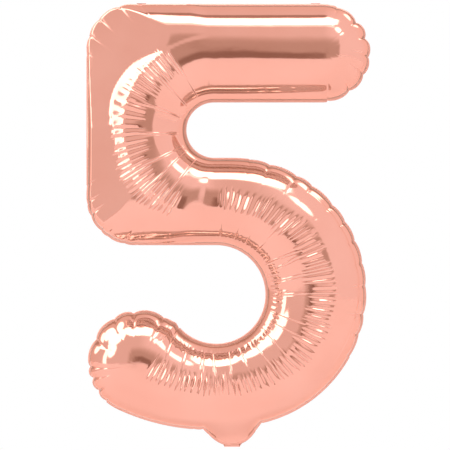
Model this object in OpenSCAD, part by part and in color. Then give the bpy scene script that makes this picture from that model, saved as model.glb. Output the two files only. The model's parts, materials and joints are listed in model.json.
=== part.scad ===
// Inflatable foil balloon in the form of the digit five.
// Two mirror-film panels are heat-sealed round their edge. A self-sealing film valve
// sits in the neck at the foot and runs out through the tail, which is folded up
// behind the neck. Two die-cut tabs on the top seam carry the hanging holes.

/* [Digit outline] */
// Height of the digit from the foot of the neck to the top seam
digit_h = 860; // [856:1:864]
// Distance of the left edge and of the right edge from the middle plane
half_w = 277; // [274:1:280]
// Height of the top bar, seam flange to seam flange
bar_h = 192; // [186:1:198]
// Corner radius at the top left
top_corner_r = 88; // [80:1:94]
// Corner radius at the foot of the stem
stem_corner_r = 94; // [86:1:98]
// Radius of the notch between the top bar and the bowl
notch_r = 54; // [50:1:56]
// Place of the notch's centre, across
notch_x = -28; // [-34:1:-22]
// Radius of the bowl's outer edge
bowl_r = 262; // [258:1:264]
// Radius of the opening inside the bowl
eye_r = 96; // [92:1:99]
// Place of the opening's centre, across
eye_x = -24; // [-28:1:-20]
// Place of the opening's centre, up
eye_z = 294; // [291:1:297]
// Radius of the flatter arc under the bowl
foot_r = 422; // [416:1:428]
// Radius of the rounded end of the lower arm
arm_end_r = 102; // [98:1:105]

/* [Inflation] */
// Largest depth of one inflated panel
dome_depth = 88; // [80:1:92]
// Width of the heat-sealed flange
flange_w = 6; // [5:0.5:8]
// Thickness of one foil panel
foil_t = 0.6; // [0.5:0.05:0.8]

/* [Neck and tail] */
// Place of the neck and the tail, across
neck_x = 7; // [4:1:10]
// Half of the neck's width where it leaves the bowl
neck_half_w = 58; // [54:1:62]
// Width of the tail
tail_w = 40; // [34:1:44]
// Length of the tail
tail_l = 70; // [55:1:80]
// Angle of the folded tail behind the neck, from upright
tail_lean = 46; // [44:1:55]

/* [Valve] */
// Width of the valve sleeve
valve_w = 28; // [24:1:32]
// Length of the valve sleeve inside the balloon
valve_l = 150; // [120:1:160]
// Thickness of one valve film
valve_t = 0.3; // [0.25:0.05:0.35]

/* [Hanging tabs] */
// Distance between the two hanging holes
tab_spacing = 340; // [320:1:350]
// Width of a tab
tab_w = 18; // [16:0.5:22]
// Radius of the hanging hole
tab_hole_r = 2; // [1.5:0.1:2.5]
// Distance of the hanging hole from the fold
tab_reach = 13; // [12:0.5:15]

/* [Hidden] */

foil_colour = [0.86, 0.60, 0.52];
valve_colour = [0.92, 0.94, 0.94];
coat_colour = [0.55, 0.66, 0.78];

// Arc centres, worked out from the driving dimensions so that neighbours meet smoothly
bar_end = [half_w - bar_h / 2, digit_h - bar_h / 2];
notch = [notch_x, digit_h - bar_h - notch_r];
eye = [eye_x, eye_z];
bowl = [half_w - bowl_r - 8, notch.y - notch_r - bowl_r];
foot_start = -74;
foot_end = -115;
foot = bowl - (foot_r - bowl_r) * [cos(foot_start), sin(foot_start)];
arm_end = foot + (foot_r - arm_end_r) * [cos(foot_end), sin(foot_end)];
stem_foot_z = eye_z + eye_r;
neck_from = -acos((neck_x + neck_half_w - foot.x) / foot_r);
neck_to = -acos((neck_x - neck_half_w - foot.x) / foot_r);
neck_h = foot.y - foot_r * sin(-(neck_from + neck_to) / 2);

// Share of the way from the seam to the ridge at which each ring of the dome lies
RINGS = [0, 0.025, 0.09, 0.2, 0.36, 0.56, 0.78];

// The points of an arc, without its last one
function arc(c, r, a0, a1, n) =
    [for (i = [0:n - 1]) let (a = a0 + (a1 - a0) * i / n) c + r * [cos(a), sin(a)]];

// The points of a straight line, without its last one
function line(p, q, n) = [for (i = [0:n - 1]) p + (q - p) * i / n];

// How far the neck stands out at a share t of its half width
function neck_bump(t) = abs(t) < 1 ? pow(1 - pow(abs(t), 2.5), 1.5) : 0;

// The arc under the neck, bulged out by the neck
function neck_arc(n) =
    [for (i = [0:n - 1])
        let (a = neck_from + (neck_to - neck_from) * i / n)
        foot + (foot_r + neck_h * neck_bump(2 * i / n - 1)) * [cos(a), sin(a)]];

// Numbers of stations round the bar's end, along the neck and round the arm's end
cap_n = 6;
neck_n = 12;
arm_cap_n = 8;

// The two edges of the band that forms the digit, from the end of the top bar to the
// end of the lower arm. Point for point they face each other across the band.
left_edge = concat(
    arc(bar_end, bar_h / 2, 0, 90, cap_n),
    line([bar_end.x, digit_h], [notch.x, digit_h], 6),
    line([notch.x, digit_h], [top_corner_r - half_w, digit_h], 4),
    arc([top_corner_r - half_w, digit_h - top_corner_r], top_corner_r, 90, 180, 5),
    line([-half_w, digit_h - top_corner_r], [-half_w, notch.y], 3),
    line([-half_w, notch.y], [-half_w, stem_foot_z + stem_corner_r], 3),
    arc([stem_corner_r - half_w, stem_foot_z + stem_corner_r], stem_corner_r, 180, 270, 5),
    line([stem_corner_r - half_w, stem_foot_z], [eye.x, stem_foot_z], 4),
    arc(eye, eye_r, 90, 84, 2),
    arc(eye, eye_r, 84, -70, 20),
    arc(eye, eye_r, -70, -96, neck_n),
    arc(eye, eye_r, -96, -146, 6),
    arc(arm_end, arm_end_r, 52, 180, arm_cap_n));
right_edge = concat(
    arc(bar_end, bar_h / 2, 0, -90, cap_n),
    line([bar_end.x, digit_h - bar_h], [notch.x, digit_h - bar_h], 6),
    arc(notch, notch_r, 90, 270, 24),
    line(notch - [0, notch_r], bowl + [0, bowl_r], 2),
    arc(bowl, bowl_r, 90, foot_start, 19),
    arc(foot, foot_r, foot_start, neck_from, 1),
    neck_arc(neck_n),
    arc(foot, foot_r, neck_to, foot_end, 6),
    arc(arm_end, arm_end_r, 360 + foot_end, 180, arm_cap_n));
stations = len(left_edge);
neck_start = stations - arm_cap_n - 6 - neck_n;
plain_foot = arc(foot, foot_r, neck_from, neck_to, neck_n);

// The right edge as it would run without the neck
function plain_right(i) =
    i >= neck_start && i < neck_start + neck_n ? plain_foot[i - neck_start] : right_edge[i];
tip = arm_end - [arm_end_r, 0];

// The whole outline as one loop, and the station of each of its points
outline = concat(left_edge, [tip], [for (i = [stations - 1:-1:1]) right_edge[i]]);
loop_n = len(outline);
function station(j) = j <= stations ? j : 2 * stations - j;

// The ridge runs midway between the edges, and ends at the centres of the round ends
first_ridge = cap_n;
last_ridge = stations - arm_cap_n;
ridge_n = last_ridge - first_ridge + 1;
function ridge_index(j) = min(max(station(j), first_ridge), last_ridge) - first_ridge;
ridge = [for (i = [first_ridge:last_ridge])
    i == first_ridge ? bar_end : i == last_ridge ? arm_end : (left_edge[i] + plain_right(i)) / 2];

function unit(v) = v / norm(v);
function wrap(j) = (j + loop_n) % loop_n;

// The loop runs anticlockwise, so the way in lies to the left of its direction
function way_in(j) =
    let (d = unit(outline[wrap(j + 1)] - outline[wrap(j - 1)])) [-d.y, d.x];
seam = [for (j = [0:loop_n - 1]) outline[j] + flange_w * way_in(j)];

// Depth of the dome at the ridge: nearly round, and no deeper than the largest depth
function half_width(j) =
    norm(ridge[ridge_index(j)] - left_edge[min(station(j), stations - 1)]) - flange_w;
function ridge_depth(j) = min(dome_depth, 0.98 * half_width(j) - 1);

// The dome rises steeply from the seam, but gently where the neck flattens out
function at_neck(j) =
    j > stations ? neck_bump((outline[j].x - neck_x) / neck_half_w)
        * (outline[j].y < neck_h + foot.y - foot_r ? 1 : 0) : 0;
function rise(j) = 0.5 + 1.2 * at_neck(j);
function depth(j, f) = ridge_depth(j) * pow(1 - (1 - f) * (1 - f), rise(j));
function slope(j, f) =
    (depth(j, f + 0.012) - depth(j, max(f - 0.012, 0)))
    / ((min(f, 0.012) + 0.012) * norm(ridge[ridge_index(j)] - seam[j]));

// Points of a ring on the outer skin, and of the same ring on the inner skin
function outer_point(j, f) =
    let (p = seam[j] + f * (ridge[ridge_index(j)] - seam[j])) [p.x, -foil_t - depth(j, f), p.y];
function inner_point(j, f) =
    let (m = slope(j, f), w = unit(ridge[ridge_index(j)] - seam[j]), s = foil_t / sqrt(1 + m * m))
    outer_point(j, f) + [m * s * w.x, s, m * s * w.y];
function ring(j, f, inner) = inner ? inner_point(j, f) : outer_point(j, f);

// Every point of one skin: the flange's edge, the rings of the dome, then the ridge
function skin(inner) = concat(
    [for (j = [0:loop_n - 1]) [outline[j].x, inner ? 0 : -foil_t, outline[j].y]],
    [for (j = [0:loop_n - 1]) [seam[j].x, inner ? 0 : -foil_t, seam[j].y]],
    [for (k = [1:len(RINGS) - 1]) for (j = [0:loop_n - 1]) ring(j, RINGS[k], inner)],
    [for (i = [0:ridge_n - 1])
        let (j = i + first_ridge)
        [ridge[i].x, (inner ? 0 : -foil_t) - ridge_depth(j), ridge[i].y]]);
bands = len(RINGS);
skin_n = (bands + 1) * loop_n + ridge_n;

// Triangles of one skin, starting from its first point
function skin_faces(start) = concat(
    [for (k = [0:bands - 1]) for (j = [0:loop_n - 1]) for (half = [0:1])
        let (a = start + k * loop_n + j, b = start + k * loop_n + wrap(j + 1))
        half == 0 ? [a, b, b + loop_n] : [a, b + loop_n, a + loop_n]],
    [for (j = [0:loop_n - 1])
        let (a = start + bands * loop_n + j, b = start + bands * loop_n + wrap(j + 1),
             r = start + (bands + 1) * loop_n)
        [a, b, r + ridge_index(wrap(j + 1))]],
    [for (j = [0:loop_n - 1])
        let (a = start + bands * loop_n + j, r = start + (bands + 1) * loop_n)
        if (ridge_index(j) != ridge_index(wrap(j + 1)))
            [a, r + ridge_index(wrap(j + 1)), r + ridge_index(j)]]);
function flip(faces) = [for (t = faces) [t[2], t[1], t[0]]];
function rim_faces() =
    [for (j = [0:loop_n - 1]) for (half = [0:1])
        half == 0 ? [j, skin_n + j, skin_n + wrap(j + 1)]
                  : [j, skin_n + wrap(j + 1), wrap(j + 1)]];

// Places of the folds, and the shift that puts the origin midway between the holes
tab_lift = 1;
tail_drop = 3;
tail_fold = [neck_x, 0, -tail_drop];
to_origin = [0, -tab_reach, -digit_h - tab_lift];

module at_origin() {
    translate(to_origin) children();
}

// One domed panel with its seam flange, in front of the seam plane
module panel() {
    polyhedron(
        points = concat(skin(false), skin(true)),
        faces = concat(flip(skin_faces(0)), skin_faces(skin_n), flip(rim_faces())));
}

// A flat strip of film that starts at the fold and runs upright, y0 to y1 thick
module strip(w, from, to, y0, y1) {
    translate([-w / 2, y0, from]) cube([w, y1 - y0, to - from]);
}

module front_panel() {
    color(foil_colour) at_origin() panel();
}

module back_panel() {
    color(foil_colour) at_origin() mirror([0, 1, 0]) panel();
}

// The valve sleeve stands inside the neck, open at the top, sealed down both sides
valve_foot = 14;
coat_t = 0.1;

module valve_film(y0) {
    color(valve_colour) at_origin() translate([neck_x, 0, 0])
        strip(valve_w, valve_foot, valve_foot + valve_l, y0, y0 + valve_t);
}

module valve_front_film() {
    valve_film(-valve_t - coat_t / 2);
}

module valve_back_film() {
    valve_film(coat_t / 2);
}

// Heat-proof coat printed between the films, so that the neck's seal leaves a channel
module valve_release_coat() {
    color(coat_colour) at_origin() translate([neck_x, 0, 0])
        strip(valve_w * 0.6, valve_foot, valve_foot + 45, -coat_t / 2, coat_t / 2);
}

// The tail leans back from its fold, behind the neck
module tail_strip(w, from, to, y0, y1) {
    at_origin() translate(tail_fold) rotate([-tail_lean, 0, 0]) strip(w, from, to, y0, y1);
}

tail_start = 1.2;
tail_foil_t = 0.45;

module tail_front_film() {
    color(foil_colour)
        tail_strip(tail_w, tail_start, tail_l, -valve_t - tail_foil_t, -valve_t);
}

module tail_back_film() {
    color(foil_colour)
        tail_strip(tail_w, tail_start, tail_l, valve_t, valve_t + tail_foil_t);
}

module tail_valve_front_film() {
    color(valve_colour) tail_strip(valve_w, tail_start, tail_l - 6, -valve_t, 0);
}

module tail_valve_back_film() {
    color(valve_colour) tail_strip(valve_w, tail_start, tail_l - 6, 0, valve_t);
}

// A tab of both films sealed together, folded back flat over the top seam
tab_t = 0.9;

module hanging_tab(x) {
    color(foil_colour) translate([x, 0, -tab_t / 2]) difference() {
        union() {
            cylinder(h = tab_t, r = tab_w / 2, $fn = 48);
            translate([-tab_w / 2, -tab_reach + 1.2, 0]) cube([tab_w, tab_reach - 1.2, tab_t]);
        }
        translate([0, 0, -1]) cylinder(h = tab_t + 2, r = tab_hole_r, $fn = 48);
    }
}

module hanging_tab_left() {
    hanging_tab(-tab_spacing / 2);
}

module hanging_tab_right() {
    hanging_tab(tab_spacing / 2);
}

front_panel();
back_panel();
valve_front_film();
valve_back_film();
valve_release_coat();
tail_front_film();
tail_back_film();
tail_valve_front_film();
tail_valve_back_film();
hanging_tab_left();
hanging_tab_right();
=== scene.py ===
import json

import bpy
import numpy as np
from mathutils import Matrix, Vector


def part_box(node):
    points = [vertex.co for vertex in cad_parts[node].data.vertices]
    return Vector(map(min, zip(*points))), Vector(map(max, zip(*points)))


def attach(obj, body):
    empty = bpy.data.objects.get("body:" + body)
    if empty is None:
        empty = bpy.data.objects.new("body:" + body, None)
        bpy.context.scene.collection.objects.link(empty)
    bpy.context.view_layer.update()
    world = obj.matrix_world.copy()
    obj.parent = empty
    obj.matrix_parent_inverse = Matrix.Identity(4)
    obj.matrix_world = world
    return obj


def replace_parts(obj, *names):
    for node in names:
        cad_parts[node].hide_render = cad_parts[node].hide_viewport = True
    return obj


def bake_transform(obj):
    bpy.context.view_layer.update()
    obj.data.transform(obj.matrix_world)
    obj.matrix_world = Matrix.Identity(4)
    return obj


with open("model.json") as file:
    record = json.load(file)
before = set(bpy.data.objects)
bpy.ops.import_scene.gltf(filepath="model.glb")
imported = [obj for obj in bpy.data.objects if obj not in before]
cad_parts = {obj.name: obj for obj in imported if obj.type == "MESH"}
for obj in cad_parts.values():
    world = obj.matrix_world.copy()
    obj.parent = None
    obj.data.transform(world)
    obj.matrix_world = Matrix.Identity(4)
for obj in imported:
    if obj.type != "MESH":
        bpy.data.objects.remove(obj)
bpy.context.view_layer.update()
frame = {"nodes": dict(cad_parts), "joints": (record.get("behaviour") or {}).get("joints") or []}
nodes = frame["nodes"]

# ---------------------------------------------------------------------------
# Outline of the two foil panels. Both are die-cut from flat film to the same digit and heat-sealed
# together round the edge; the gas draws the convex edges into small scallops.
# ---------------------------------------------------------------------------
panel_low, panel_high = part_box("front_panel")
top_z, seam_y = panel_high.z, panel_high.y
half_w = panel_high.x
bar_h = 0.192
top_corner_r = 0.088
stem_corner_r = 0.094
bowl_r = 0.262
eye_r = 0.096
foot_r = 0.422
arm_end_r = 0.102
foot_z = panel_low.z
bar_end = np.array([half_w - bar_h / 2, top_z - bar_h / 2])
notch_r = 0.054
notch = np.array([-0.028, top_z - bar_h - notch_r])
eye = np.array([-0.024, foot_z + 0.294])
bowl = np.array([half_w - bowl_r - 0.008, notch[1] - notch_r - bowl_r])
foot_start, foot_end = -74, -115


def toward(angle):
    """The unit vector at an angle in degrees from +X."""
    return np.array([np.cos(np.radians(angle)), np.sin(np.radians(angle))])


foot = bowl - (foot_r - bowl_r) * toward(foot_start)
arm_end = foot + (foot_r - arm_end_r) * toward(foot_end)
stem_foot_z = eye[1] + eye_r
neck_x, neck_half_w = 0.007, 0.058
neck_from = -np.degrees(np.arccos((neck_x + neck_half_w - foot[0]) / foot_r))
neck_to = -np.degrees(np.arccos((neck_x - neck_half_w - foot[0]) / foot_r))
neck_h = foot[1] - foot_z - foot_r * np.sin(np.radians(-(neck_from + neck_to) / 2))


def arc(centre, radius, start, end, count):
    """Points of an arc: the centre plus the radius, turned evenly from start towards end in degrees."""
    turn = np.radians(np.linspace(start, end, count, endpoint=False))
    return np.asarray(centre) + radius * np.stack([np.cos(turn), np.sin(turn)], 1)


def line(start, end, count):
    """Points of a straight line: start plus an even share of the way to end."""
    share = np.linspace(0, 1, count, endpoint=False)[:, None]
    return np.asarray(start) + share * (np.asarray(end) - np.asarray(start))


def neck_bump(share):
    """How far the neck stands out at a share of its half width: 1 in the middle, easing to 0 at the sides."""
    return np.clip(1 - np.abs(share) ** 2.5, 0, 1) ** 1.5


def neck_arc(count):
    """The arc under the neck, with its radius grown by the neck's bump."""
    turn = np.radians(np.linspace(neck_from, neck_to, count, endpoint=False))
    radius = foot_r + neck_h * neck_bump(np.linspace(-1, 1, count, endpoint=False))
    return foot + radius[:, None] * np.stack([np.cos(turn), np.sin(turn)], 1)


# The band that forms the digit, from the end of the top bar to the end of the lower arm. Point for
# point its two edges face each other; the steps are finest where the film is pleated.
cap_n, bar_n, turn_n, link_n, bowl_n, neck_n, arm_n, arm_cap_n = 72, 72, 480, 24, 480, 120, 120, 128
corner = [top_corner_r - half_w, top_z - top_corner_r]
stem_foot = [stem_corner_r - half_w, stem_foot_z + stem_corner_r]
left_edge = np.concatenate([
    arc(bar_end, bar_h / 2, 0, 90, cap_n),
    line([bar_end[0], top_z], [notch[0], top_z], bar_n),
    line([notch[0], top_z], [corner[0], top_z], 80),
    arc(corner, top_corner_r, 90, 180, 100),
    line([-half_w, corner[1]], [-half_w, notch[1]], 60),
    line([-half_w, notch[1]], [-half_w, stem_foot[1]], 60),
    arc(stem_foot, stem_corner_r, 180, 270, 100),
    line([stem_foot[0], stem_foot_z], [eye[0], stem_foot_z], 80),
    arc(eye, eye_r, 90, 84, link_n),
    arc(eye, eye_r, 84, -70, bowl_n),
    arc(eye, eye_r, -70, -96, neck_n),
    arc(eye, eye_r, -96, -146, arm_n),
    arc(arm_end, arm_end_r, 52, 180, arm_cap_n),
])
right_edge = np.concatenate([
    arc(bar_end, bar_h / 2, 0, -90, cap_n),
    line([bar_end[0], top_z - bar_h], [notch[0], top_z - bar_h], bar_n),
    arc(notch, notch_r, 90, 270, turn_n),
    line(notch - [0, notch_r], bowl + [0, bowl_r], link_n),
    arc(bowl, bowl_r, 90, foot_start, 456),
    arc(foot, foot_r, foot_start, neck_from, 24),
    neck_arc(neck_n),
    arc(foot, foot_r, neck_to, foot_end, arm_n),
    arc(arm_end, arm_end_r, 360 + foot_end, 180, arm_cap_n),
])
stations = len(left_edge)
bar_start = cap_n
turn_start = bar_start + bar_n
link_start = turn_start + turn_n
bowl_start = link_start + link_n
neck_start = bowl_start + bowl_n
arm_start = neck_start + neck_n
arm_cap_start = arm_start + arm_n
outline = np.concatenate([left_edge, [arm_end - [arm_end_r, 0]], right_edge[:0:-1]])
loop_n = len(outline)
loop = np.arange(loop_n)
station = np.where(loop <= stations, loop, 2 * stations - loop)
on_left = loop <= stations


def soften(values, window):
    """A moving average along the first axis, with the ends held by turning the values over there."""
    pad = window // 2
    head = 2 * values[:1] - values[pad:0:-1]
    tail = 2 * values[-1:] - values[-2:-pad - 2:-1]
    padded = np.concatenate([head, values, tail])
    total = np.cumsum(np.concatenate([np.zeros_like(padded[:1]), padded]), axis=0)
    return (total[2 * pad + 1:] - total[:-2 * pad - 1]) / (2 * pad + 1)


def unit(vectors):
    """Vectors of length 1 in the same directions."""
    return vectors / np.maximum(np.linalg.norm(vectors, axis=-1, keepdims=True), 1e-12)


tangent = unit(np.roll(outline, -3, 0) - np.roll(outline, 3, 0))
way_in = np.stack([-tangent[:, 1], tangent[:, 0]], 1)
edge_step = np.linalg.norm(np.roll(outline, -1, 0) - outline, axis=1)
edge_length = np.concatenate([[0], np.cumsum(edge_step)[:-1]])

# The ridge runs midway between the edges and ends at the centres of the round ends
plain_right = right_edge.copy()
plain_right[neck_start:arm_start] = arc(foot, foot_r, neck_from, neck_to, neck_n)
ridge = (left_edge + plain_right)[bar_start:arm_cap_start + 1] / 2
ridge[0], ridge[-1] = bar_end, arm_end
ridge = soften(soften(ridge, 41), 31)
ridge_index = np.clip(station, bar_start, arm_cap_start) - bar_start
ridge_step = np.linalg.norm(np.diff(ridge, axis=0), axis=1)
ridge_length = np.concatenate([[0], np.cumsum(ridge_step)])

# Scallops: each stretch of convex edge is drawn into a few lobes with a sharp dip between them. Each
# row has the outline points where a stretch starts and ends, its number of lobes, and their strength.
lobe_rng = np.random.default_rng(5)
dip = np.zeros(loop_n)
pinch = np.zeros(loop_n)
puff = np.zeros(loop_n)
LOBED = [
    (-66, 58, 6, 1.7), (214, 330, 4, 0.8), (turn_start + 290, turn_start + 404, 6, 0.5),
    (2 * stations - arm_start - 12, 2 * stations - arm_start + 14, 2, 0.6),
    (2 * stations - neck_start - 14, 2 * stations - neck_start + 12, 2, 0.5),
    (arm_cap_start - 20, arm_cap_start + 226, 8, 1.6),
    (2 * stations - bowl_start - 330, 2 * stations - bowl_start - 20, 11, 0.8),
]
for first, last, count, strength in LOBED:
    share = np.linspace(0, 1, count + 1)
    share[1:-1] += lobe_rng.uniform(-0.22, 0.22, count - 1) / count
    bounds = first + (last - first) * share
    index = np.arange(int(np.ceil(first)), int(last))
    lobe = np.clip(np.searchsorted(bounds, index, side="right") - 1, 0, count - 1)
    t = (index - bounds[lobe]) / (bounds[lobe + 1] - bounds[lobe])
    depth = strength * lobe_rng.uniform(0.6, 1.0, count + 1)
    depth[[0, -1]] *= 0.5
    ends = np.where(t < 0.5, depth[lobe], depth[lobe + 1])
    dip[index % loop_n] = ends * (1 - np.sin(np.pi * t) ** 0.6)
    pinch[index % loop_n] = ends * np.clip(1 - 9 * np.minimum(t, 1 - t), 0, 1)
    puff[index % loop_n] = strength * np.sin(np.pi * t)

# ---------------------------------------------------------------------------
# Foil panels: two sheets of metallised mirror film, 30 microns thick, domed by the gas. Where the
# tube bends, the film on the inside of the bend has length to spare and gathers into fine pleats.
# ---------------------------------------------------------------------------
# The sealed band, which tilts a little towards the dome, and the dome's swell
flange_w = 0.0045
flange_tilt = 0.0005
foil_t = 0.0003
wall_t = 0.00024
dome_depth = 0.0875
crown = 2.6
rings = 40
# The scalloped edge: its dips, the puffed lobes between them and the folds pinched in behind them
scallop_depth, scallop_reach = 0.0046, 0.012
puff_h, puff_reach = 0.0016, 0.014
pinch_depth, pinch_reach = 0.0032, 0.015
# Pleats round the notch and the bowl, by the eye and under the bar; single creases; the bowl's long
# fold; and the film's slow buckles
pleat_depth, pleat_w = 0.0022, 0.0090
eye_pleat_depth, eye_pleat_w = 0.0009, 0.008
bar_pleat_depth, bar_pleat_w = 0.0011, 0.0058
crease_depth, crease_w = 0.0008, 0.0018
fold_depth, fold_w = 0.0022, 0.0026
buckle_h = 0.0005
# The roll of film round the notch, its roof, and the flat web beyond it; angles in degrees
roll_from = 117
roll_reach, roll_crest = 0.095, 0.112
roof_slope, roof_ease = 0.8, 0.003
roll_ease, crease_ease = 0.0012, 0.003
web_x, web_h = -0.222, 0.0712
web_rise, web_drop = 0.335, 0.121
web_reach, web_start_slope = 0.045, 6
turn_band = 0.195
turn_r = notch_r + 0.1

seam_line = outline + flange_w * way_in
right_of = right_edge[np.minimum(station, stations - 1)]
half_width = np.linalg.norm(ridge[ridge_index] - np.where(
    on_left[:, None], outline, plain_right[np.minimum(station, stations - 1)]), axis=1)
station_depth = np.minimum(dome_depth, 0.98 * (half_width - flange_w) - 0.001)[:stations]
ridge_depth = soften(station_depth[bar_start:arm_cap_start + 1, None], 61)[:, 0]
neck_loop = 2 * stations - np.arange(neck_start, arm_start)
at_neck = np.zeros(loop_n)
at_neck[neck_loop] = neck_bump((outline[neck_loop, 0] - neck_x) / neck_half_w)
in_turn = (station >= turn_start) & (station <= link_start)
turn_angle = np.where(in_turn, 90 + 180 * (station - turn_start) / turn_n, 0)


def smooth(value, low, high):
    """0 below low, 1 above high, and an eased step between."""
    t = np.clip((value - low) / (high - low), 0, 1)
    return t * t * (3 - 2 * t)


def swell(distance, reach):
    """Height of the domed film over its distance from a sealed edge: 0 at the edge, steep at first, and
    the full depth from the reach on. The crown's power makes the top flatter than a circle."""
    away = 1 - np.clip(distance / reach, 0, 1)
    return dome_depth * (1 - away ** crown) ** 0.5


def lower_of(a, b, blend):
    """The smaller of two heights, eased over the blend where they cross."""
    t = np.clip(0.5 + 0.5 * (b - a) / blend, 0, 1)
    return b + (a - b) * t - blend * t * (1 - t)


def elbow(x, z, from_inner, from_edge):
    """Height of the film round the notch. The inner film stands up as a roll that follows the notch, and
    past its crest drops like a roof to a valley. Beyond it a flat web leans towards the stem's left edge,
    and meets the top bar's and the stem foot's own swell at a crease. The bar is a little flatter and the
    foot's swell wider towards the left. The higher of roll and web shows."""
    past = np.clip(from_inner - roll_crest, 0, 1)
    roll = swell(from_inner, roll_reach) - roof_slope * past ** 2 / (past + roof_ease)
    web = web_h + web_rise * (x - web_x) - web_drop * np.clip(z - notch[1], 0, 1)
    bar = swell(top_z - z, bar_h / 2) * (1 - 0.06 * smooth(-x, 0.09, 0.165))
    web = lower_of(web, swell(from_edge, web_reach), crease_ease)
    web = lower_of(web, bar, crease_ease)
    foot_reach = 0.085 + 0.06 * smooth(-x, 0.10, 0.19)
    web = lower_of(web, swell(z - stem_foot_z, foot_reach), crease_ease)
    web = web - web_start_slope * np.clip(roll_crest - from_inner, 0, 1)
    return -lower_of(-roll, -web, roll_ease)


def pleats(along, across, start, stop, pitch, inner, outer, rng):
    """Pleats side by side between start and stop: each is a small roof with a rounded crest and a sharp
    valley at both sides, leaning a little to one side, that fades out at its own two ends."""
    widths = pitch * rng.uniform(0.6, 1.5, int((stop - start) / pitch * 1.6) + 4)
    valley = start + np.concatenate([[0], np.cumsum(widths)])
    which = np.clip(np.searchsorted(valley, along, side="right") - 1, 0, len(widths) - 1)
    t = np.clip((along - valley[which]) / widths[which], 0, 1)
    near = inner + rng.uniform(-0.05, 0.07, len(widths))[which]
    far = outer + rng.uniform(-0.06, 0.02, len(widths))[which]
    strength = rng.uniform(0.55, 1.15, len(widths))[which] * (widths[which] / pitch) ** 0.8
    w = np.clip((across - near) / (far - near), 0, 1)
    lens = smooth(w, 0, 0.4) * (1 - smooth(w, 0.66, 1))
    inside = smooth(along, start, start + pitch) * (1 - smooth(along, stop - pitch, stop))
    t = t ** rng.uniform(0.7, 1.4, len(widths))[which]
    return inside * strength * lens * (0.5 - np.abs(2 * t - 1) ** 1.25)


def creases(along, across, places, reach, lean, width):
    """Long straight creases: a narrow fold with a shallow hollow beside it, at each place along the
    band, from the inner edge out to its reach, leaning a little with the distance across."""
    total = np.zeros_like(along)
    for place, end, tilt in zip(places, reach, lean):
        away = (along - place - tilt * (across - 0.1)) / width
        fade = smooth(across, 0.03, 0.12) * (1 - smooth(across, end - 0.12, end))
        total += fade * (np.exp(-away ** 2) - 0.7 * np.exp(-(away - 1.7) ** 2))
    return total


def ripple(x, z, waves, rng):
    """Slow waviness of the film: a sum of sine waves of different lengths and directions."""
    total = np.zeros_like(x)
    for length in waves:
        turn, phase = rng.uniform(0, 2 * np.pi, 2)
        total += length * np.sin(2 * np.pi * (x * np.cos(turn) + z * np.sin(turn)) / length + phase)
    return total / sum(waves)


def dome():
    """The smooth swell of a panel, as across, up and height for each ring and outline point. Rings run
    from the cut edge over the flange to the ridge; a ring at an angle lies 1 minus its cosine of the way
    in. Returns the rows, each point's share of the way in, and its distance from the inner edge."""
    way = ridge[ridge_index] - seam_line
    share = 1 - np.cos(np.linspace(0, np.pi / 2, rings + 1)[1:, None])
    flat = seam_line + share[:, :, None] * way
    height = ridge_depth[ridge_index] * (1 - (1 - share) ** crown) ** (0.5 + 1.2 * at_neck)
    from_inner = np.linalg.norm(flat - right_of, axis=2) - flange_w
    weight = smooth(turn_angle, 92, 100) * (1 - smooth(turn_angle, 250, 266))
    from_edge = share * np.linalg.norm(way, axis=1)
    height += weight * (elbow(flat[..., 0], flat[..., 1], from_inner, from_edge) - height)
    flange = [outline, outline + 0.5 * flange_w * way_in, seam_line]
    lift = [0, 0.4 * flange_tilt, flange_tilt]
    rows = [np.column_stack([row, np.full(loop_n, up)]) for row, up in zip(flange, lift)]
    domed = np.concatenate([flat, height[:, :, None] + flange_tilt * (1 - share[:, :, None])], 2)
    rows = np.concatenate([rows, domed])
    share = np.concatenate([np.zeros((3, 1)), share]) * np.ones(loop_n)
    from_inner = np.linalg.norm(rows[..., :2] - right_of, axis=2)
    return rows, share, from_inner


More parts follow.
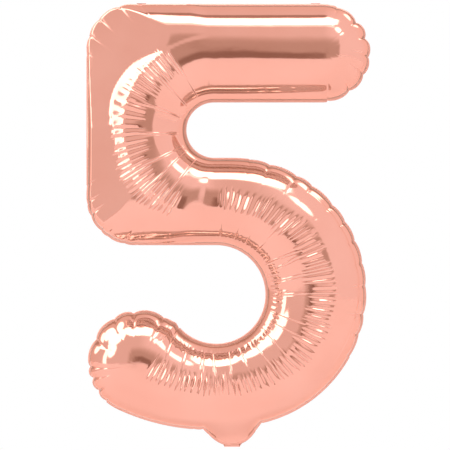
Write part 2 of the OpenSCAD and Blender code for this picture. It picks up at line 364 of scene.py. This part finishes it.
def wrinkles(rows, share, from_inner, distance, rng):
    """How far the film stands out from its smooth swell: the sum of pleats and creases on the inside of
    the two bends, small wrinkles along the bar, one long faint fold behind the bowl, slow buckles, and
    the puffed lobes and pinched folds behind the scalloped seam."""
    along = ridge_length[ridge_index] * np.ones_like(share)
    from_left = np.where(on_left, share / 2, 1 - share / 2)
    turn_along = np.radians(turn_angle - 90) * turn_r * np.ones_like(share)
    turn_across = from_inner / turn_band
    turn_from, turn_to = np.radians([roll_from - 91, 160]) * turn_r
    bowl_from, bowl_to = ridge_length[[bowl_start - bar_start - 20, arm_cap_start - bar_start - 10]]
    turn_far = 0.70 + 0.10 * smooth(turn_angle, 150, 175)
    out = pleat_depth * in_turn * pleats(
        turn_along, turn_across, turn_from, turn_to, pleat_w, 0.36, turn_far, rng)
    down = smooth(along, 0.5 * (bowl_from + bowl_to), bowl_to - 0.1)
    near, far = 0.38 - 0.09 * down, 0.70 - 0.10 * down
    out += (1.2 + 0.6 * down) * pleat_depth * pleats(
        along, from_left, bowl_from, bowl_to, pleat_w, near, far, rng)
    places = np.radians([27, 50, 72, 97, 118, 129, 150]) * turn_r + rng.uniform(-0.004, 0.004, 7)
    out += crease_depth * in_turn * creases(
        turn_along, turn_across, places, rng.uniform(0.4, 0.7, 7), rng.uniform(-0.03, 0.03, 7), crease_w)
    count = 18
    places = np.linspace(bowl_from + 0.02, bowl_to - 0.02, count) + rng.uniform(-0.012, 0.012, count)
    out += crease_depth * creases(
        along, from_left, places, rng.uniform(0.36, 0.5, count), rng.uniform(-0.03, 0.03, count), crease_w)
    eye_share = 0.62
    eye_along = along * eye_share
    eye_from, eye_to = eye_share * np.array([bowl_from + 0.02, bowl_to - 0.01])
    out += eye_pleat_depth * pleats(
        eye_along, from_left, eye_from, eye_to, eye_pleat_w, 0.03, 0.17, rng)
    bar_along = ridge[ridge_index, 0] * np.ones_like(share)
    in_bar = station < turn_start + 60
    out += bar_pleat_depth * in_bar * pleats(
        bar_along, from_left, -0.068, -0.004, bar_pleat_w, 0.68, 0.90, rng)
    behind_bowl = smooth(along, bowl_from + 0.10, bowl_from + 0.20)
    behind_bowl *= 1 - smooth(along, bowl_from + 0.36, bowl_from + 0.42)
    fold_at = 0.015 + 0.08 * np.clip(along - bowl_from - 0.28, 0, 1)
    out -= fold_depth * behind_bowl * ~on_left * np.exp(-((distance - fold_at) / fold_w) ** 2)
    fade = smooth(distance, flange_w, 0.02)
    out += fade * buckle_h * ripple(rows[..., 0], rows[..., 1], [0.11, 0.15, 0.21, 0.28], rng)
    near_edge = np.exp(-np.clip(distance - flange_w, 0, 1) / puff_reach)
    out += puff * puff_h * near_edge * smooth(distance, 0.004, 0.01)
    out -= pinch * pinch_depth * np.exp(-distance / pinch_reach) * smooth(distance, 0.004, 0.008)
    return out


def foil_panel(name, side, seed):
    """One panel: the dome's rows, moved along their own normals by the wrinkles, and drawn in at the
    scallops. side is -1 for the front panel and 1 for the back one."""
    rng = np.random.default_rng(seed)
    rows, share, from_inner = dome()
    way_length = np.linalg.norm(ridge[ridge_index] - seam_line, axis=1)
    over_flange = np.minimum(np.arange(len(rows)) / 2, 1)[:, None] * flange_w
    distance = share * way_length + over_flange
    step_in = np.gradient(rows, axis=0)
    step_on = np.roll(rows, -2, 1) - np.roll(rows, 2, 1)
    normal = unit(np.cross(step_on, step_in))
    normal *= np.where(normal[..., 2:] < 0, -1, 1)
    normal[-1] = [0, 0, 1]
    normal[:, at_neck > 0, :2] *= 0.3
    rows = rows + wrinkles(rows, share, from_inner, distance, rng)[..., None] * normal
    rows[..., :2] += (scallop_depth * dip * np.exp(-distance / scallop_reach))[..., None] * way_in
    rows[0, :, 2] = foil_t

    crest = np.zeros((len(ridge), 3))
    crest[ridge_index] = rows[-1]
    points = np.concatenate([rows[:-1].reshape(-1, 3), crest])
    row_n = len(rows) - 1
    after = np.roll(loop, -1)
    start = np.arange(row_n - 1)[:, None] * loop_n
    quads = np.stack([start + loop, start + after, start + after + loop_n, start + loop + loop_n], -1)
    last = (row_n - 1) * loop_n
    crest_at = row_n * loop_n + ridge_index
    crest_after = crest_at[after]
    fan = crest_at == crest_after
    strips = np.stack([last + loop, last + after, crest_after, crest_at], 1)[~fan]
    fans = np.stack([last + loop, last + after, crest_at], 1)[fan]
    faces = quads.reshape(-1, 4).tolist() + strips.tolist() + fans.tolist()
    if side > 0:
        faces = [face[::-1] for face in faces]
    mesh = bpy.data.meshes.new(name)
    mesh.from_pydata(np.stack([points[:, 0], seam_y + side * points[:, 2], points[:, 1]], 1), [], faces)
    mesh.update()
    seal = mesh.uv_layers.new(name="seal")
    corner_vertex = np.zeros(len(mesh.loops), np.int32)
    mesh.loops.foreach_get("vertex_index", corner_vertex)
    measure = np.stack([np.tile(edge_length, row_n), distance[:-1].ravel()], 1)
    measure = np.concatenate([measure, np.full((len(ridge), 2), 0.1)])
    seal.data.foreach_set("uv", measure[corner_vertex].astype(np.float32).ravel())
    mesh.shade_smooth()
    edge_vertex = np.zeros(2 * len(mesh.edges), np.int32)
    mesh.edges.foreach_get("vertices", edge_vertex)
    at_seam = (edge_vertex.reshape(-1, 2) // loop_n == 2).all(axis=1)
    fold = mesh.attributes.new("sharp_edge", "BOOLEAN", "EDGE")
    fold.data.foreach_set("value", at_seam)
    panel = bpy.data.objects.new(name, mesh)
    bpy.context.scene.collection.objects.link(panel)
    wall = panel.modifiers.new("film", "SOLIDIFY")
    wall.thickness = wall_t
    wall.offset = -1
    return panel


def clouds(tree, where, scale, detail):
    """A cloudy pattern from 0 to 1 over the piece's own coordinates."""
    noise = tree.nodes.new("ShaderNodeTexNoise")
    noise.inputs["Scale"].default_value = scale
    noise.inputs["Detail"].default_value = detail
    tree.links.new(where.outputs["Object"], noise.inputs["Vector"])
    return noise.outputs["Fac"]


def two_tones(tree, pattern, low, high):
    """One colour below a pattern's middle and another above it, eased over the middle third."""
    tone = tree.nodes.new("ShaderNodeValToRGB")
    tone.color_ramp.elements[0].position = 0.35
    tone.color_ramp.elements[0].color = (*low, 1)
    tone.color_ramp.elements[1].position = 0.65
    tone.color_ramp.elements[1].color = (*high, 1)
    tree.links.new(pattern, tone.inputs["Fac"])
    return tone.outputs["Color"]


def spread(tree, pattern, low, high):
    """A pattern's range from 0 to 1 laid out evenly from low to high."""
    laid_out = tree.nodes.new("ShaderNodeMapRange")
    laid_out.inputs["To Min"].default_value = low
    laid_out.inputs["To Max"].default_value = high
    tree.links.new(pattern, laid_out.inputs["Value"])
    return laid_out.outputs["Result"]


def relief(tree, pattern, strength, depth):
    """A bump that follows a pattern: its depth in metres where the pattern is 1."""
    bump = tree.nodes.new("ShaderNodeBump")
    bump.inputs["Strength"].default_value = strength
    bump.inputs["Distance"].default_value = depth
    tree.links.new(pattern, bump.inputs["Height"])
    return bump


def mirror_film(name, colour, shade, reflection_paint):
    """Metallised film: a mirror of one metal colour that drifts a little between two tones, duller where
    it is sealed, with slow buckles and a fine grain as bump. Where the film is seen in a reflection in
    other film, its base colour is swapped for a greyer painted reflection colour. This keeps the
    doubled reflections from turning a deep orange."""
    material = bpy.data.materials.new(name)
    material.use_nodes = True
    tree = material.node_tree
    links, make = tree.links, tree.nodes.new
    skin = tree.nodes["Principled BSDF"]
    skin.inputs["Metallic"].default_value = 1.0
    skin.inputs["Specular Tint"].default_value = (1.0, 0.72, 0.64, 1)
    where = make("ShaderNodeTexCoord")
    drift = clouds(tree, where, 9.0, 3.0)
    # Painted reflection: on glossy rays the base colour becomes the greyer painted reflection colour, so the
    # film's reflections of itself are tinted by paint
    path = make("ShaderNodeLightPath")
    reflection_paint_mix = make("ShaderNodeMix")
    reflection_paint_mix.data_type = "RGBA"
    reflection_paint_mix.inputs[7].default_value = (*reflection_paint, 1)
    links.new(path.outputs["Is Glossy Ray"], reflection_paint_mix.inputs[0])
    links.new(two_tones(tree, drift, shade, colour), reflection_paint_mix.inputs[6])
    links.new(reflection_paint_mix.outputs[2], skin.inputs["Base Color"])
    seal_at = make("ShaderNodeUVMap")
    seal_at.uv_map = "seal"
    seal_split = make("ShaderNodeSeparateXYZ")
    links.new(seal_at.outputs["UV"], seal_split.inputs[0])
    sealed = make("ShaderNodeMapRange")
    sealed.inputs["From Min"].default_value = flange_w * 1.1
    sealed.inputs["From Max"].default_value = flange_w * 0.9
    links.new(seal_split.outputs["Y"], sealed.inputs["Value"])
    rough = make("ShaderNodeMath")
    rough.operation = "ADD"
    links.new(spread(tree, drift, 0.06, 0.12), rough.inputs[0])
    links.new(spread(tree, sealed.outputs["Result"], 0.0, 0.34), rough.inputs[1])
    links.new(rough.outputs[0], skin.inputs["Roughness"])
    buckles = relief(tree, clouds(tree, where, 22.0, 2.0), 0.25, 0.0012)
    grain = relief(tree, clouds(tree, where, 260.0, 2.0), 0.05, 0.0003)
    links.new(buckles.outputs["Normal"], grain.inputs["Normal"])
    links.new(grain.outputs["Normal"], skin.inputs["Normal"])
    return material


rose = (0.95, 0.45, 0.36)
rose_shade = (0.93, 0.425, 0.335)
# The greyer colour painted on the film only where it is seen in a reflection: a painted reflection tone
rose_reflection_paint = (0.66, 0.60, 0.55)
rose_gold = mirror_film("rose_gold_film", rose, rose_shade, rose_reflection_paint)
front_foil = foil_panel("front_foil", -1, 11)
back_foil = foil_panel("back_foil", 1, 23)
for panel, node in ((front_foil, "front_panel"), (back_foil, "back_panel")):
    panel.data.materials.append(rose_gold)
    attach(panel, "balloon")
    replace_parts(panel, node)

# ---------------------------------------------------------------------------
# Hanging tabs: two small tongues of the same film on the top seam, heat-sealed all over and each
# punched with a hole. They fold back at a crease, out of sight.
# ---------------------------------------------------------------------------
for node in ("hanging_tab_left", "hanging_tab_right"):
    nodes[node].data.materials.clear()
    nodes[node].data.materials.append(rose_gold)

# ---------------------------------------------------------------------------
# Valve: two strips of soft clear film laid flat on each other in the neck and on into the tail. The
# gas presses them shut; a printed heat-proof coat between them keeps a channel open in the seal.
# ---------------------------------------------------------------------------


def soft_film(name, pale, deep, clear, dullness):
    """Thin plastic: two tones in soft clouds, a roughness that follows the clouds, and small crinkles."""
    material = bpy.data.materials.new(name)
    material.use_nodes = True
    tree = material.node_tree
    links, make = tree.links, tree.nodes.new
    skin = tree.nodes["Principled BSDF"]
    skin.inputs["Transmission Weight"].default_value = clear
    skin.inputs["IOR"].default_value = 1.49
    where = make("ShaderNodeTexCoord")
    cloud = clouds(tree, where, 60.0, 4.0)
    links.new(two_tones(tree, cloud, deep, pale), skin.inputs["Base Color"])
    links.new(spread(tree, cloud, dullness, dullness + 0.12), skin.inputs["Roughness"])
    crinkle = make("ShaderNodeTexVoronoi")
    crinkle.inputs["Scale"].default_value = 140.0
    links.new(where.outputs["Object"], crinkle.inputs["Vector"])
    bump = relief(tree, crinkle.outputs["Distance"], 0.2, 0.0004)
    links.new(bump.outputs["Normal"], skin.inputs["Normal"])
    return material


valve_plastic = soft_film("valve_plastic", (0.93, 0.95, 0.96), (0.86, 0.89, 0.91), 0.7, 0.18)
coat_ink = soft_film("coat_ink", (0.34, 0.46, 0.62), (0.26, 0.37, 0.52), 0.0, 0.42)
for node in ("valve_front_film", "valve_back_film", "tail_valve_front_film", "tail_valve_back_film"):
    nodes[node].data.materials.clear()
    nodes[node].data.materials.append(valve_plastic)
nodes["valve_release_coat"].data.materials.clear()
nodes["valve_release_coat"].data.materials.append(coat_ink)

# ---------------------------------------------------------------------------
# Inflation tail: the panels' own film runs on below the neck as a flat sleeve round the valve, sealed
# down both sides. After filling it is folded up at a crease, and leans behind the neck.
# ---------------------------------------------------------------------------
tail_low, tail_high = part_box("tail_front_film")
tail_w = tail_high.x - tail_low.x
tail_shoulder_w = 0.031
crease_neck_w = 0.027
tail_start, tail_l = 0.0010, 0.0698
tail_lean = np.radians(46)
tail_foil_t = 0.00012
sleeve_w = 0.029
sleeve_h, film_h, swell_h = 0.00046, 0.00016, 0.0005
mouth_from, mouth_gape = 0.050, 0.0016
crease_at = np.array(next(joint["pos_m"] for joint in frame["joints"] if joint["name"] == "tail_fold"))
along_tail = np.array([0, np.sin(tail_lean), np.cos(tail_lean)])
off_tail = np.array([0, -np.cos(tail_lean), np.sin(tail_lean)])


def film_grid(name, points, seal_across, seal_along, flip):
    """A grid of points as a film: quads between neighbours, with the seal map's two distances as UVs."""
    rows_n, columns_n = points.shape[:2]
    index = np.arange(rows_n * columns_n).reshape(rows_n, columns_n)
    quads = np.stack([index[:-1, :-1], index[:-1, 1:], index[1:, 1:], index[1:, :-1]], -1).reshape(-1, 4)
    quads = quads[:, ::-1] if flip else quads
    mesh = bpy.data.meshes.new(name)
    mesh.from_pydata(points.reshape(-1, 3), [], quads.tolist())
    mesh.update()
    seal = mesh.uv_layers.new(name="seal")
    measure = np.stack([seal_along.ravel(), seal_across.ravel()], 1)[quads.ravel()]
    seal.data.foreach_set("uv", measure.astype(np.float32).ravel())
    mesh.shade_smooth()
    mesh.materials.append(rose_gold)
    film = bpy.data.objects.new(name, mesh)
    bpy.context.scene.collection.objects.link(film)
    wall = film.modifiers.new("film", "SOLIDIFY")
    wall.thickness = tail_foil_t
    return film


def tail_foil(name, side, seed):
    """One foil of the sleeve. Its height off the middle is a plateau over the valve films that eases down
    to the sealed sides, plus a low swell, cross folds, crimps by the crease and a mouth that gapes."""
    rng = np.random.default_rng(seed)
    across, up = np.meshgrid(np.linspace(-0.5, 0.5, 81), np.linspace(0, 1, 141))
    v = tail_start + up * (tail_l - tail_start)
    u = across * (tail_shoulder_w + (tail_w - tail_shoulder_w) * smooth(v, 0.001, 0.010))
    sleeve = 1 - smooth(np.abs(u), sleeve_w / 2, sleeve_w / 2 + 0.0026)
    middle = np.clip(1 - (2 * u / sleeve_w) ** 2, 0, 1)
    height = film_h + sleeve_h * sleeve + swell_h * middle
    height += mouth_gape * middle * smooth(v, mouth_from, tail_l)
    height += 0.00028 * middle * ripple(u, v, [0.009, 0.014, 0.022], rng)
    for place, tilt in ((0.021, 0.14), (0.043, -0.09)):
        height -= 0.00030 * middle * np.exp(-((v - place - tilt * u) / 0.0007) ** 2)
    crimp = np.sin(2 * np.pi * u / 0.0027 + 3 * np.sin(2 * np.pi * u / 0.011))
    height += 0.00008 * sleeve * (1 + crimp) * np.exp(-(v - tail_start) / 0.006)
    flat = crease_at + u[..., None] * [1, 0, 0] + v[..., None] * along_tail
    foil = film_grid(name, flat + (side * height)[..., None] * off_tail, tail_w / 2 - np.abs(u), v, side < 0)
    foil.modifiers["film"].offset = -1
    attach(foil, "tail")
    return foil


for name, side, seed, node in (
    ("tail_front_foil", 1, 31, "tail_front_film"), ("tail_back_foil", -1, 37, "tail_back_film"),
):
    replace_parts(tail_foil(name, side, seed), node)


def crease_foil():
    """The short stretch of sleeve between the neck's seal and the tail: a strip along a tight U, by the
    cubic curve through four guide points, that widens from the neck to the tail."""
    t, across = np.meshgrid(np.linspace(0, 1, 33), np.linspace(-0.5, 0.5, 61), indexing="ij")
    end = 0.0030 * along_tail
    guides = crease_at[1:] + [[0, 0.0058], [-0.0001, -0.0020], [0.0001, -0.0011], [end[1], end[2]]]
    shares = [(1 - t) ** 3, 3 * t * (1 - t) ** 2, 3 * t ** 2 * (1 - t), t ** 3]
    line_y, line_z = (sum(share * guide for share, guide in zip(shares, guides[:, axis])) for axis in (0, 1))
    width = crease_neck_w + (tail_shoulder_w - crease_neck_w) * smooth(t, 0, 0.5)
    u = across * width
    crimp = 0.00006 * np.sin(2 * np.pi * u / 0.0031)
    points = np.stack([crease_at[0] + u, line_y + crimp, line_z], -1)
    strip = film_grid("tail_crease_foil", points, 0 * t, t * 0.01, False)
    strip.modifiers["film"].thickness = 3 * tail_foil_t
    strip.modifiers["film"].offset = 0
    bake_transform(strip)


crease_foil()

# ---------------------------------------------------------------------------
# Floor, light and camera: a white studio floor well under the balloon, and a bright room with a long
# strip of light overhead, another at the left, and round soft lights above and at the sides. Darker
# screens stand round the camera and behind. A long lens looks straight at the front.
# ---------------------------------------------------------------------------
scene = bpy.context.scene
floor_z, floor_half_w, floor_front, floor_back = -1.32, 9, -12, 3.1
floor_white = 0.68
floor_mesh = bpy.data.meshes.new("studio_floor")
floor_corners = [
    (-floor_half_w, floor_front, floor_z), (floor_half_w, floor_front, floor_z),
    (floor_half_w, floor_back, floor_z), (-floor_half_w, floor_back, floor_z)]
floor_mesh.from_pydata(floor_corners, [], [(0, 1, 2, 3)])
floor = bpy.data.objects.new("studio_floor", floor_mesh)
scene.collection.objects.link(floor)
floor_paint = bpy.data.materials.new("floor_paint")
floor_paint.use_nodes = True
floor_skin = floor_paint.node_tree.nodes["Principled BSDF"]
floor_skin.inputs["Base Color"].default_value = (floor_white, floor_white, floor_white, 1)
floor_skin.inputs["Roughness"].default_value = 0.9
floor_mesh.materials.append(floor_paint)

room = bpy.data.worlds.new("studio_room")
scene.world = room
room.use_nodes = True
tree = room.node_tree
links, make = tree.links, tree.nodes.new
tree.nodes.clear()


def number(kind, *values):
    """A math node of that kind, fed by numbers or by other nodes' outputs."""
    step = make("ShaderNodeMath")
    step.operation = kind
    for socket, value in zip(step.inputs, values):
        if isinstance(value, bpy.types.NodeSocket):
            links.new(value, socket)
        else:
            socket.default_value = value
    return step.outputs[0]


def eased(value, low, high):
    """An eased step of a value from 0 at low to 1 at high."""
    step = make("ShaderNodeMapRange")
    step.interpolation_type = "SMOOTHSTEP"
    links.new(value, step.inputs["Value"])
    step.inputs["From Min"].default_value = low
    step.inputs["From Max"].default_value = high
    return step.outputs["Result"]


def mixed(share, below, above):
    """below where the share is 0 and above where it is 1."""
    return number("ADD", number("MULTIPLY", share, above),
                  number("MULTIPLY", number("SUBTRACT", 1.0, share), below))


def all_of(*shares):
    """The product of several shares."""
    total = shares[0]
    for share in shares[1:]:
        total = number("MULTIPLY", total, share)
    return total


where = make("ShaderNodeTexCoord")
split = make("ShaderNodeSeparateXYZ")
links.new(where.outputs["Generated"], split.inputs[0])
to_right, away, up = split.outputs
to_side = number("ABSOLUTE", to_right)
ahead = number("ABSOLUTE", away)


def lamp_share(direction, core, rim):
    """1 inside a round soft light in a direction, easing to 0 outside it, by the cosine from its axis. The
    room has the same light in front and behind."""
    x, y, z = direction
    cosine = number("ADD", number("MULTIPLY", to_right, x),
                    number("ADD", number("MULTIPLY", ahead, y), number("MULTIPLY", up, z)))
    return eased(cosine, rim, core)


# Brightness of the room's parts, where 1 is white, and the directions of the round lights
left_wall, right_wall, low_wall = 0.84, 1.0, 1.0
side_screen, lens_screen, back_screen, ceiling_line = 0.57, 0.30, 0.5, 0.45
top_strip, left_strip, corner_lamp, left_lamp, right_lamp = 3.1, 2.7, 3.0, 2.9, 3.0
to_corner, to_left_lamp, to_right_lamp = (-0.69, 0.25, 0.68), (-0.80, 0.50, 0.33), (0.498, 0.584, 0.632)

wall = mixed(eased(to_right, -0.1, 0.35), left_wall, right_wall)
in_front = eased(away, 0.1, -0.3)
beside = all_of(eased(to_right, -0.28, -0.16), eased(to_right, 0.5, 0.44))
wall = mixed(all_of(beside, in_front, eased(up, 0.45, 0.15)), wall, side_screen)
wall = mixed(all_of(eased(to_side, 0.14, 0.06), in_front, eased(up, 0.10, 0.04)), wall, lens_screen)
behind = all_of(eased(away, 0.2, 0.5), eased(to_side, 0.55, 0.35), eased(up, 0.6, 0.4))
wall = mixed(behind, wall, back_screen)
strip = all_of(eased(up, 0.80, 0.83), eased(away, -0.02, -0.08), eased(to_side, 0.5, 0.42))
wall = mixed(strip, wall, top_strip)
wall = mixed(all_of(eased(up, 0.982, 0.992), eased(away, 0.12, 0.06)), wall, ceiling_line)
wall = mixed(lamp_share(to_corner, 0.955, 0.94), wall, corner_lamp)
side_strip = all_of(eased(to_right, -0.5, -0.7), eased(away, -0.12, -0.16), eased(away, -0.38, -0.34))
wall = mixed(all_of(side_strip, eased(up, 0.55, 0.4)), wall, left_strip)
wall = mixed(lamp_share(to_left_lamp, 0.986, 0.977), wall, left_lamp)
wall = mixed(lamp_share(to_right_lamp, 0.988, 0.98), wall, right_lamp)
wall = mixed(eased(up, -0.085, -0.10), wall, low_wall)
warmth = make("ShaderNodeValToRGB")
warmth.color_ramp.elements[0].position = 0.28
warmth.color_ramp.elements[0].color = (1, 0.76, 0.62, 1)
warmth.color_ramp.elements[1].position = 1.0
warmth.color_ramp.elements[1].color = (1, 1, 1, 1)
for at, colour in ((0.56, (1, 0.92, 0.82, 1)), (0.84, (1, 0.975, 0.94, 1))):
    warmth.color_ramp.elements.new(at).color = colour
path = make("ShaderNodeLightPath")
glow = make("ShaderNodeBackground")
backdrop = 1.0
wall = mixed(path.outputs["Is Camera Ray"], wall, backdrop)
links.new(wall, warmth.inputs["Fac"])
links.new(warmth.outputs["Color"], glow.inputs["Color"])
links.new(wall, glow.inputs["Strength"])
ends = make("ShaderNodeOutputWorld")
links.new(glow.outputs[0], ends.inputs["Surface"])

key = bpy.data.lights.new("softbox", "AREA")
key.shape = "RECTANGLE"
key.size, key.size_y = 2.6, 1.0
key.energy = 6
key_lamp = bpy.data.objects.new("softbox", key)
scene.collection.objects.link(key_lamp)
key_lamp.location = (0.0, -1.6, 2.4)
to_digit = Vector((0, 0, -0.43)) - key_lamp.location
key_lamp.rotation_euler = to_digit.to_track_quat("-Z", "Y").to_euler()

aim = Vector((-0.0068, seam_y, -0.432))
stand_off = 3.2
view_h = 0.8775
lens = bpy.data.cameras.new("front_camera")
lens.lens = 36 * stand_off / view_h
camera = bpy.data.objects.new("front_camera", lens)
scene.collection.objects.link(camera)
camera.location = aim - Vector((0, stand_off, 0))
camera.rotation_euler = (np.pi / 2, 0, 0)
scene.camera = camera
scene.view_settings.view_transform = "Standard"
